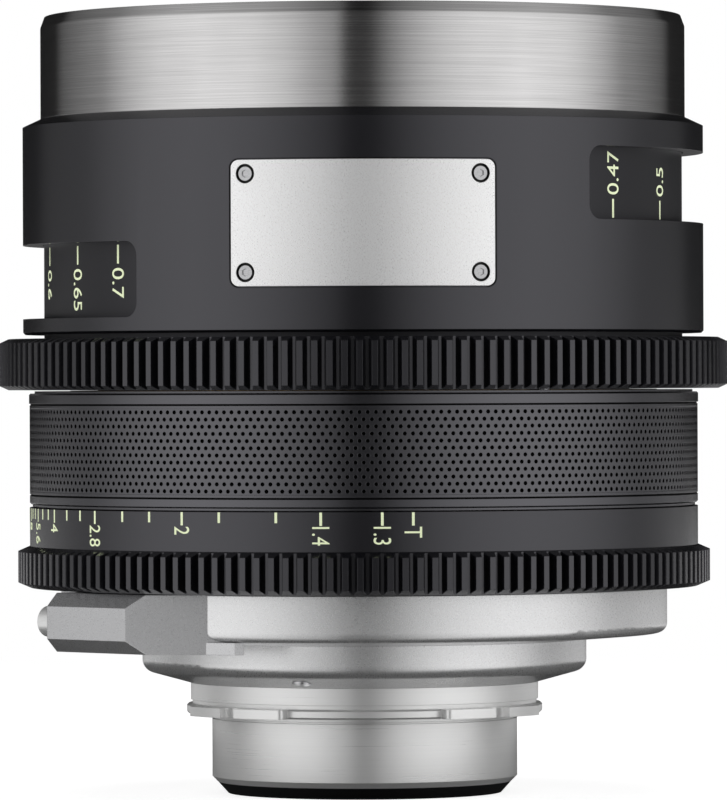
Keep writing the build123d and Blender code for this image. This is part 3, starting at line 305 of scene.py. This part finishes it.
# A shaded copy of the black finish for the focus scale sleeve, which sits back in the windows: less specular
# and rougher, so it renders darker as painted shade
shadedSleeveBlack = blastedMetal("shadedSleeveBlack", {**blackLook, "specular": 0.3, "roughness": 0.3})
innerBlack = blastedMetal("innerBlack", {
    **blackLook, "dark": (0.003, 0.003, 0.003), "light": (0.009, 0.009, 0.009), "roughness": 0.5,
    "specular": 0.4, "ior": 1.5,
})
# Painted shade for the grip's pits and grooves: near black, rough and barely reflective, so they read as
# shadowed holes
paintedPitShade = blastedMetal("paintedPitShade", {
    **blackLook, "dark": (0.001, 0.001, 0.001), "light": (0.002, 0.002, 0.002), "roughness": 0.7,
    "specular": 0.05, "ior": 1.5, "edge": 0.0,
})
bladeBlack = blastedMetal("leafBlack", {
    **blackLook, "dark": (0.012, 0.012, 0.013), "light": (0.03, 0.03, 0.032), "roughness": 0.4, "edge": 0.0,
})
moulded = blastedMetal("mouldedBlack", {
    **blackLook, "dark": (0.02, 0.02, 0.02), "light": (0.04, 0.04, 0.04), "roughness": 0.45, "edge": 0.0,
})
greyMetal = blastedMetal("greyBlasted", greyLook)
portGrey = blastedMetal("portGrey", {
    **greyLook, "dark": (0.42, 0.42, 0.43), "light": (0.74, 0.74, 0.75), "metallic": 0.78,
})
# Painted shade: the plate's sides and whatever is sunk more than 0.12 mm below its face are coloured black,
# standing in for the shadow line round the plate
plateSilver = blastedMetal("plateSilver", {
    **greyLook, "dark": (0.84, 0.84, 0.84), "grainPerMetre": 8000, "metallic": 0.55, "bump": 0.12,
    "paintedShadeUnder": radiusOf("name_plate") - 0.12 * mm, "black": (0.002, 0.002, 0.002),
})
glass = coatedGlass("coatedGlass", {
    "cloudPerMetre": 20, "dark": (0.93, 0.96, 0.97), "light": (0.96, 0.98, 0.98), "roughness": 0.0,
    "ior": 1.52, "specular": 0.12, "sheenTint": (0.62, 0.42, 1.0), "coat": 0.05, "coatTint": (0.8, 0.7, 0.95),
})
# Painted glow: both paints emit a little of their own colour, the marks most, so they read lighter than their
# light makes them
markPaint = plainPaint("luminousPaintWithPaintedGlow", {
    "grainPerMetre": 9000, "dark": (0.74, 0.82, 0.52), "light": (0.84, 0.91, 0.62), "roughness": 0.5,
    "bump": 0.1, "glow": 0.25,
})
whitePaint = plainPaint("whitePaint", {
    "grainPerMetre": 9000, "dark": (0.74, 0.74, 0.72), "light": (0.84, 0.84, 0.82), "roughness": 0.5,
    "bump": 0.1, "glow": 0.05,
})
finishOfSlot = {
    "brushed_dark": frontRingMetal, "black_anodised": blackMetal, "black_inner": innerBlack,
    "grey_anodised": greyMetal, "bright_steel": mountSteel, "plate_silver": plateSilver,
    "screw_steel": screwSteel, "scale_black": scaleBlack, "bronze": bronzeMetal, "raw_aluminium": rawMetal,
    "coated_glass": glass, "blade_black": bladeBlack, "socket_steel": mountSteel, "contact_gold": goldMetal,
    "socket_plastic": moulded,
}
finishOfNode = {
    "focus_gear_ring": gearBlack, "iris_gear_ring": gearBlack, "focus_scale_sleeve": shadedSleeveBlack,
    "data_port_housing": portGrey,
}
for subpart in frame["record"]["subparts"]:
    name = subpart["node"]
    materials = frame["nodes"][name].data.materials
    materials.clear()
    materials.append(finishOfNode.get(name, finishOfSlot[subpart["material_slot"]]))


# Modelling helpers
def clearSelection():
    if bpy.context.object and bpy.context.object.mode != "OBJECT":
        bpy.ops.object.mode_set(mode="OBJECT")
    bpy.ops.object.select_all(action="DESELECT")


def onlySelect(piece):
    clearSelection()
    piece.select_set(True)
    bpy.context.view_layer.objects.active = piece


def editAll(piece):
    onlySelect(piece)
    bpy.ops.object.mode_set(mode="EDIT")
    bpy.ops.mesh.select_all(action="SELECT")


def leaveEdit():
    bpy.ops.object.mode_set(mode="OBJECT")


def applyModifier(piece, kind, **settings):
    onlySelect(piece)
    modifier = piece.modifiers.new(kind.title(), kind)
    for key, value in settings.items():
        setattr(modifier, key, value)
    bpy.ops.object.modifier_apply(modifier=modifier.name)


def joined(pieces, name):
    clearSelection()
    for piece in pieces:
        piece.select_set(True)
    bpy.context.view_layer.objects.active = pieces[0]
    if len(pieces) > 1:
        bpy.ops.object.join()
    pieces[0].name = name
    return pieces[0]


def settle(piece, name, body, material):
    onlySelect(piece)
    bpy.ops.object.transform_apply(location=True, rotation=True, scale=True)
    piece.name = name
    piece.data.name = name
    piece.data.materials.clear()
    piece.data.materials.append(material)
    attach(piece, body)


# A closed outline of (radius, height) corners spun round the optical axis
def spun(name, outline, steps, mergeGap):
    mesh = bpy.data.meshes.new(name)
    count = len(outline)
    edges = [(n, (n + 1) % count) for n in range(count)]
    mesh.from_pydata([(radius, 0, height) for radius, height in outline], edges, [])
    piece = bpy.data.objects.new(name, mesh)
    bpy.context.collection.objects.link(piece)
    editAll(piece)
    bpy.ops.mesh.spin(steps=steps, angle=2 * pi, center=(0, 0, 0), axis=(0, 0, 1))
    leaveEdit()
    editAll(piece)
    bpy.ops.mesh.remove_doubles(threshold=mergeGap)
    bpy.ops.mesh.normals_make_consistent(inside=False)
    leaveEdit()
    return piece


# Wraps a flat mesh round the axis: X becomes the way round from -Y towards +X, Y the height
def wrapRound(piece, radius):
    for vertex in piece.data.vertices:
        x, y, z = vertex.co
        angle = x / radius
        vertex.co = ((radius + z) * sin(angle), -(radius + z) * cos(angle), y)


# The grip: a sleeve whose middle band is covered with small pits in offset rows
grip = {
    "rows": 12, "pitsAround": 267, "rowPitch": 1.22 * mm, "pitRadius": 0.36 * mm, "pitFloorShare": 0.85,
    "pitDepth": 0.35 * mm, "cellMargin": 0.1, "bandRise": 0.1 * mm, "grooveDepth": 0.15 * mm,
    "grooveWidth": 0.3 * mm, "edge": 0.25 * mm, "lipInset": 0.5 * mm, "lipHeight": 0.4 * mm,
    "neckInset": 0.9 * mm, "neckHeight": 0.4 * mm, "lowBand": 1.8 * mm, "highBand": 1.8 * mm,
    "bore": 56.0 * mm, "web": 3.0 * mm, "webBore": 47.05 * mm, "backing": 0.6 * mm, "paintedShadeBelow": 0.08 * mm,
    "steps": 267, "mergeGap": 0.002 * mm, "seamGap": 0.005 * mm, "smoothAngle": 25,
}


# One cell of the band with an eight-sided pit in it
def makePit(width, height):
    eighth = pi / 4
    bpy.ops.mesh.primitive_plane_add(size=1)
    pit = bpy.context.object
    pit.scale = (width, height, 1)
    bpy.ops.object.transform_apply(scale=True)
    bpy.ops.object.mode_set(mode="EDIT")
    bpy.ops.mesh.select_all(action="SELECT")
    bpy.ops.mesh.subdivide(number_cuts=1)
    bpy.ops.mesh.select_mode(type="FACE")
    bpy.ops.mesh.select_all(action="SELECT")
    bpy.ops.mesh.dissolve_faces()
    bpy.ops.mesh.inset(thickness=grip["cellMargin"] * height)
    leaveEdit()
    for vertex in pit.data.vertices:
        if vertex.select:
            angle = round(atan2(vertex.co.y, vertex.co.x) / eighth) * eighth
            vertex.co = (grip["pitRadius"] * cos(angle), grip["pitRadius"] * sin(angle), 0)
    bpy.ops.object.mode_set(mode="EDIT")
    slope = (1 - grip["pitFloorShare"]) * grip["pitRadius"] * cos(eighth / 2)
    bpy.ops.mesh.inset(thickness=slope, depth=-grip["pitDepth"])
    leaveEdit()
    return pit


def makeGrip():
    low, high = footOf("grip_sleeve"), topOf("grip_sleeve")
    edge, step = grip["edge"], grip["grooveWidth"]
    outer = radiusOf("grip_sleeve")
    radius = outer - grip["bandRise"]
    groove = radius - grip["grooveDepth"]
    backing = radius - grip["backing"]
    lip = radius - grip["lipInset"]
    neck = radius - grip["neckInset"]
    bandFoot = low + grip["lipHeight"]
    zoneFoot = bandFoot + grip["lowBand"]
    bandTop = high - grip["neckHeight"]
    zoneTop = bandTop - grip["highBand"]
    skinTop = zoneTop - step
    margin = (skinTop - zoneFoot - grip["rows"] * grip["rowPitch"]) / 2
    sleeve = spun("gripSleeve", [
        (grip["bore"], low), (lip, low), (lip, bandFoot), (radius - edge, bandFoot),
        (radius, bandFoot + edge), (radius, zoneFoot - step), (groove, zoneFoot - step), (groove, zoneFoot),
        (radius, zoneFoot), (radius, zoneFoot + margin), (backing, zoneFoot + margin),
        (backing, skinTop - margin), (radius, skinTop - margin), (radius, skinTop), (groove, skinTop),
        (groove, zoneTop), (outer, zoneTop), (outer, bandTop - edge), (outer - edge, bandTop),
        (neck, bandTop), (neck, high), (grip["webBore"], high), (grip["webBore"], high - grip["web"]),
        (grip["bore"], high - grip["web"]),
    ], grip["steps"], grip["mergeGap"])
    width = 2 * pi * radius / grip["pitsAround"]
    skin = makePit(width, grip["rowPitch"])
    copies = {
        "use_relative_offset": False, "use_constant_offset": True, "use_merge_vertices": True,
        "merge_threshold": grip["mergeGap"],
    }
    applyModifier(skin, "ARRAY", **copies, count=grip["pitsAround"], constant_offset_displace=(width, 0, 0))
    applyModifier(skin, "ARRAY", **copies, count=grip["rows"],
                  constant_offset_displace=(width / 2, grip["rowPitch"], 0))
    for vertex in skin.data.vertices:
        vertex.co.y += zoneFoot + margin + grip["rowPitch"] / 2
    wrapRound(skin, radius)
    editAll(skin)
    bpy.ops.mesh.remove_doubles(threshold=grip["seamGap"])
    leaveEdit()
    sleeve = joined([sleeve, skin], "gripSleeve")
    settle(sleeve, "gripSleeve", "barrel", gripBlack)
    onlySelect(sleeve)
    bpy.ops.object.shade_smooth_by_angle(angle=radians(grip["smoothAngle"]))
    # Painted shade: faces in the pitted band that lie deeper than the given depth under its surface, the pits
    # and the two grooves, take the near-black pit finish
    sleeve.data.materials.append(paintedPitShade)
    for face in sleeve.data.polygons:
        x, y, z = face.center
        deep = (x * x + y * y) ** 0.5 < radius - grip["paintedShadeBelow"]
        face.material_index = 1 if deep and zoneFoot - step < z < zoneTop else 0
    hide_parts("grip_sleeve")


makeGrip()
print("grip made")


# Scales: painted strokes and figures, made flat and wrapped round their ring
marking = {
    "thickness": 0.04 * mm, "lift": 0.02 * mm, "cornerShare": 0.3, "cornerSteps": 2, "letterSteps": 6,
    "mergeGap": 0.001 * mm,
}


def flatStroke(x, low, width, length):
    bpy.ops.mesh.primitive_cube_add(size=1, location=(x, low + length / 2, 0))
    stroke = bpy.context.object
    stroke.scale = (width, length, marking["thickness"])
    bpy.ops.object.transform_apply(location=True, scale=True)
    applyModifier(stroke, "BEVEL", width=marking["cornerShare"] * width, segments=marking["cornerSteps"],
                  limit_method="ANGLE")
    return stroke


def flatText(words, height, squeeze):
    thickness = marking["thickness"]
    bpy.ops.object.text_add()
    text = bpy.context.object
    text.data.body = words
    text.data.size = height
    text.data.resolution_u = marking["letterSteps"]
    bpy.ops.object.convert(target="MESH")
    text = bpy.context.object
    editAll(text)
    bpy.ops.mesh.remove_doubles(threshold=marking["mergeGap"])
    bpy.ops.mesh.extrude_region_move(TRANSFORM_OT_translate={"value": (0, 0, thickness)})
    bpy.ops.mesh.select_all(action="SELECT")
    bpy.ops.mesh.normals_make_consistent(inside=False)
    leaveEdit()
    places = [vertex.co for vertex in text.data.vertices]
    left, bottom = min(p.x for p in places), min(p.y for p in places)
    grow = height / (max(p.y for p in places) - bottom)
    for vertex in text.data.vertices:
        x, y, z = vertex.co
        vertex.co = ((x - left) * grow * squeeze, (y - bottom) * grow, z - thickness / 2)
    return text


# Turns flat words to read up or down the ring, with their first letter at a height
def placeText(text, x, start, height, downwards):
    way = -1 if downwards else 1
    for vertex in text.data.vertices:
        along, up, out = vertex.co
        vertex.co = (x + way * (height / 2 - up), start + way * along, out)
    return text


def makeScale(name, ring, body, look):
    radius = radiusOf(ring) - look.get("sunk", 0) + marking["lift"]
    start = look["from"]
    down = look["downwards"]
    pieces = []
    for angle, tick, words in look["marks"]:
        x = radius * radians(angle + look["turn"])
        length = look[tick]
        pieces.append(flatStroke(x, start - length if down else start, look["width"], length))
        if words:
            text = flatText(words, look["height"], look["squeeze"])
            begin = start - length - look["gap"] if down else start + length + look["gap"]
            pieces.append(placeText(text, x, begin, look["height"], down))
    piece = joined(pieces, name)
    wrapRound(piece, radius)
    settle(piece, name, body, look["material"])


# Distances, with the angle of each on the sleeve in degrees
focusNumbers = {
    "0.47": 0, "0.5": 16.5, "0.6": 54.5, "0.65": 69.8, "0.7": 82.7, "0.8": 101, "0.9": 115, "1": 125.5,
    "1.2": 140, "1.5": 154, "2": 167, "3": 179, "5": 188, "10": 196,
}
focusLook = {
    "width": 0.5 * mm, "long": 3.25 * mm, "height": 3.1 * mm, "squeeze": 1.0, "gap": 0.75 * mm,
    "material": markPaint, "marks": [(angle, "long", words) for words, angle in focusNumbers.items()],
}
leftFocus = {**focusLook, "downwards": True, "from": 82.1 * mm, "turn": -130.9}
rightFocus = {**focusLook, "downwards": False, "from": 86.45 * mm, "turn": 49.6}
makeScale("focusScaleLeft", "focus_scale_sleeve", "focus_ring", leftFocus)
makeScale("focusScaleRight", "focus_scale_sleeve", "focus_ring", rightFocus)

# Stops, with strokes for the thirds between the first ones
irisNumbers = {
    "T": 8.1, "1.3": 3.0, "1.4": -7.1, "2": -31.6, "2.8": -51.5, "4": -65.4, "5.6": -74.5, "8": -81.8,
    "11": -87.6, "16": -92.6, "22": -97.2,
}
irisThirds = [-14.6, -24.6, -38.3, -44.4, -55.9, -60.4, -68.3, -71.4, -76.9, -79.4]
irisLook = {
    "width": 0.46 * mm, "long": 2.25 * mm, "short": 1.8 * mm, "height": 3.0 * mm, "squeeze": 0.74,
    "gap": 0.2 * mm, "downwards": True, "from": topOf("iris_scale_ring") - 0.05 * mm, "turn": 0,
    "material": markPaint,
    "marks": [(angle, "long", words) for words, angle in irisNumbers.items()]
             + [(angle, "short", "") for angle in irisThirds],
}
makeScale("irisScale", "iris_scale_ring", "iris_ring", irisLook)
print("scales made")

# Index lines beside the scales, at both sides of the lens
indexLook = {"width": 0.5 * mm, "long": 1.8 * mm, "downwards": False, "turn": 0, "material": whitePaint}
leftIndex = {**indexLook, "from": footOf("front_housing") + 0.5 * mm, "marks": [(-90, "long", "")]}
rightIndex = {**indexLook, "from": topOf("front_housing") - 4.6 * mm, "marks": [(90, "long", "")]}
gripIndex = {
    **indexLook, "long": 1.1 * mm, "from": footOf("grip_sleeve") + grip["lipHeight"] + grip["edge"],
    "sunk": grip["bandRise"], "marks": [(-90, "long", ""), (90, "long", "")],
}
makeScale("focusIndexLeft", "front_housing", "barrel", leftIndex)
makeScale("focusIndexRight", "front_housing", "barrel", rightIndex)
makeScale("irisIndex", "grip_sleeve", "barrel", gripIndex)
print("index lines made")

# Studio: floor, soft lamps, a surround that only reflections see, and the camera
studio = {
    "floorRadius": 3.0, "floorSteps": 96, "floorNear": 0.15, "floorFar": 0.6, "floorColour": (0.5, 0.5, 0.5),
    "floorGlow": 0.8, "paintedShadowBack": 0.1, "paintedShadowNear": 0.145, "paintedShadowFar": 0.175, "paintedShadowLeast": 0.03,
    "lampPower": 12.0, "lampWidth": 1.3, "lampHeight": 1.5, "lampAway": 1.25, "lampForward": -0.42,
    "lampLift": 0.32, "topPower": 4.0, "topWidth": 1.0, "topPlace": (0, 0.1, 1.3), "fill": 0.32,
    "surroundRadius": 2.4, "surroundSteps": 64, "highStart": 0.25, "highEnd": 0.9, "highShare": 0.2,
}
# How bright each way is in a reflection, from 0 in front of the lens to 1 behind it
toTheLeft = [(0.0, 0.04), (0.036, 0.05), (0.046, 0.36)]
toTheRight = [(0.02, 0.06), (0.033, 0.15), (0.06, 0.32)]
frontBoxes = [(0.09, 0.50), (0.15, 0.78), (0.22, 1.0), (0.32, 1.1), (0.42, 0.94), (0.50, 0.66)]
surroundSides = frontBoxes + [(0.58, 0.32), (0.74, 0.12), (0.78, 0.02), (1.0, 0.01)]
floorSides = frontBoxes + [(0.58, 0.42), (0.72, 0.75), (0.86, 0.65), (0.95, 0.15), (1.0, 0.12)]
camera = {
    "away": 1.24, "height": 58.7 * mm, "lens": 315.0, "sensor": 36.0, "shiftUp": -20 / 800, "roll": 0.2,
    "reach": 20,
}


# Broad soft boxes with dark flags between them, by the way round the lens
def softBoxes(finish, sides):
    x, y = finish.axes()[:2]
    turn = x.math("ARCTAN2", y * -1) / (2 * pi) + 0.5
    stops = [(0.5 - place / 2, level) for place, level in toTheLeft + sides]
    stops += [(0.5 + place / 2, level) for place, level in toTheRight + sides]
    return finish.node("ShaderNodeValToRGB", {"stops": stops}, {"Fac": turn})


def makeFloor():
    bpy.ops.mesh.primitive_circle_add(vertices=studio["floorSteps"], radius=studio["floorRadius"],
                                      fill_type="NGON")
    floor = bpy.context.object
    floor.name = "floor"
    floor.location.z = cadLow.z
    finish = newFinish("floor")
    x, y = finish.axes()[:2]
    # Painted shadow: to reflections, the floor is dark within about 0.15 m of a point 0.1 m behind the lens,
    # standing in for the lens's own shadow on it
    back = y - studio["paintedShadowBack"]
    far = finish.smoothStep((x * x + y * y) ** 0.5, studio["floorNear"], studio["floorFar"])
    paintedShadowFade = finish.smoothStep((x * x + back * back) ** 0.5, studio["paintedShadowNear"], studio["paintedShadowFar"],
                              studio["paintedShadowLeast"])
    seen = finish.ray("Is Camera Ray").math("MAXIMUM", finish.ray("Is Transmission Ray"))
    matte = finish.node("ShaderNodeBsdfDiffuse", {}, {"Color": withAlpha(studio["floorColour"])})
    haze = finish.node("ShaderNodeEmission", {}, {"Strength": seen * studio["floorGlow"]})
    near = finish.node("ShaderNodeAddShader", {}, {0: matte, 1: haze})
    white = finish.node("ShaderNodeEmission", {}, {"Strength": 1.0})
    pale = finish.node("ShaderNodeMixShader", {}, {0: far, 1: near, 2: white})
    # What reflections see: the soft boxes' pattern, darkened near the lens by the painted shadow
    mirrored = finish.node("ShaderNodeEmission", {}, {
        "Color": softBoxes(finish, floorSides), "Strength": paintedShadowFade,
    })
    glossy = finish.ray("Is Glossy Ray")
    mixed = finish.node("ShaderNodeMixShader", {}, {0: glossy, 1: pale, 2: mirrored})
    floor.data.materials.append(finish.show(mixed))


def makeLamp(name, place, power, width, height):
    bpy.ops.object.light_add(type="AREA", location=place)
    lamp = bpy.context.object
    lamp.name = name
    lamp.data.shape = "RECTANGLE"
    lamp.data.size = width
    lamp.data.size_y = height
    lamp.data.energy = power
    lamp.visible_glossy = False
    aim = Vector((0, 0, camera["height"])) - Vector(place)
    lamp.rotation_euler = aim.to_track_quat("-Z", "Y").to_euler()


def makeSurround():
    steps = studio["surroundSteps"]
    bpy.ops.mesh.primitive_uv_sphere_add(segments=steps, ring_count=steps // 2,
                                         radius=studio["surroundRadius"])
    surround = bpy.context.object
    surround.name = "softSurround"
    finish = newFinish("softSurround")
    height = finish.axes()[2] / studio["surroundRadius"]
    strength = finish.smoothStep(height, studio["highStart"], studio["highEnd"], 1.0, studio["highShare"])
    glow = finish.node("ShaderNodeEmission", {}, {
        "Color": softBoxes(finish, surroundSides), "Strength": strength,
    })
    surround.data.materials.append(finish.show(glow))
    surround.visible_camera = False
    surround.visible_diffuse = False
    surround.visible_shadow = False
    surround.visible_transmission = False


# White to the eye, in gloss and in glass, and a softer fill light for everything else
def makeWorld():
    world = bpy.data.worlds.new("studioWorld")
    bpy.context.scene.world = world
    sky = Finish(world, "ShaderNodeOutputWorld")
    seen = sky.ray("Is Camera Ray")
    for label in ("Is Glossy Ray", "Is Transmission Ray"):
        seen = seen.math("MAXIMUM", sky.ray(label))
    strength = sky.node("ShaderNodeMapRange", {}, {"Value": seen, "To Min": studio["fill"], "To Max": 1.0})
    sky.show(sky.node("ShaderNodeBackground", {}, {"Color": (1, 1, 1, 1), "Strength": strength}))


def makeCamera():
    data = bpy.data.cameras.new("photoCamera")
    data.lens = camera["lens"]
    data.sensor_width = camera["sensor"]
    data.shift_y = camera["shiftUp"]
    data.clip_end = camera["reach"]
    eye = bpy.data.objects.new("photoCamera", data)
    eye.location = (0, -camera["away"], camera["height"])
    eye.rotation_euler = (pi / 2, radians(camera["roll"]), 0)
    bpy.context.collection.objects.link(eye)
    bpy.context.scene.camera = eye


makeFloor()
for side, name in ((-1, "lampLeft"), (1, "lampRight")):
    makeLamp(name, (side * studio["lampAway"], studio["lampForward"], studio["lampLift"]),
             studio["lampPower"], studio["lampWidth"], studio["lampHeight"])
makeLamp("lampTop", studio["topPlace"], studio["topPower"], studio["topWidth"], studio["topWidth"])
makeSurround()
makeWorld()
makeCamera()
bpy.context.scene.view_settings.view_transform = "Standard"
print("studio made")
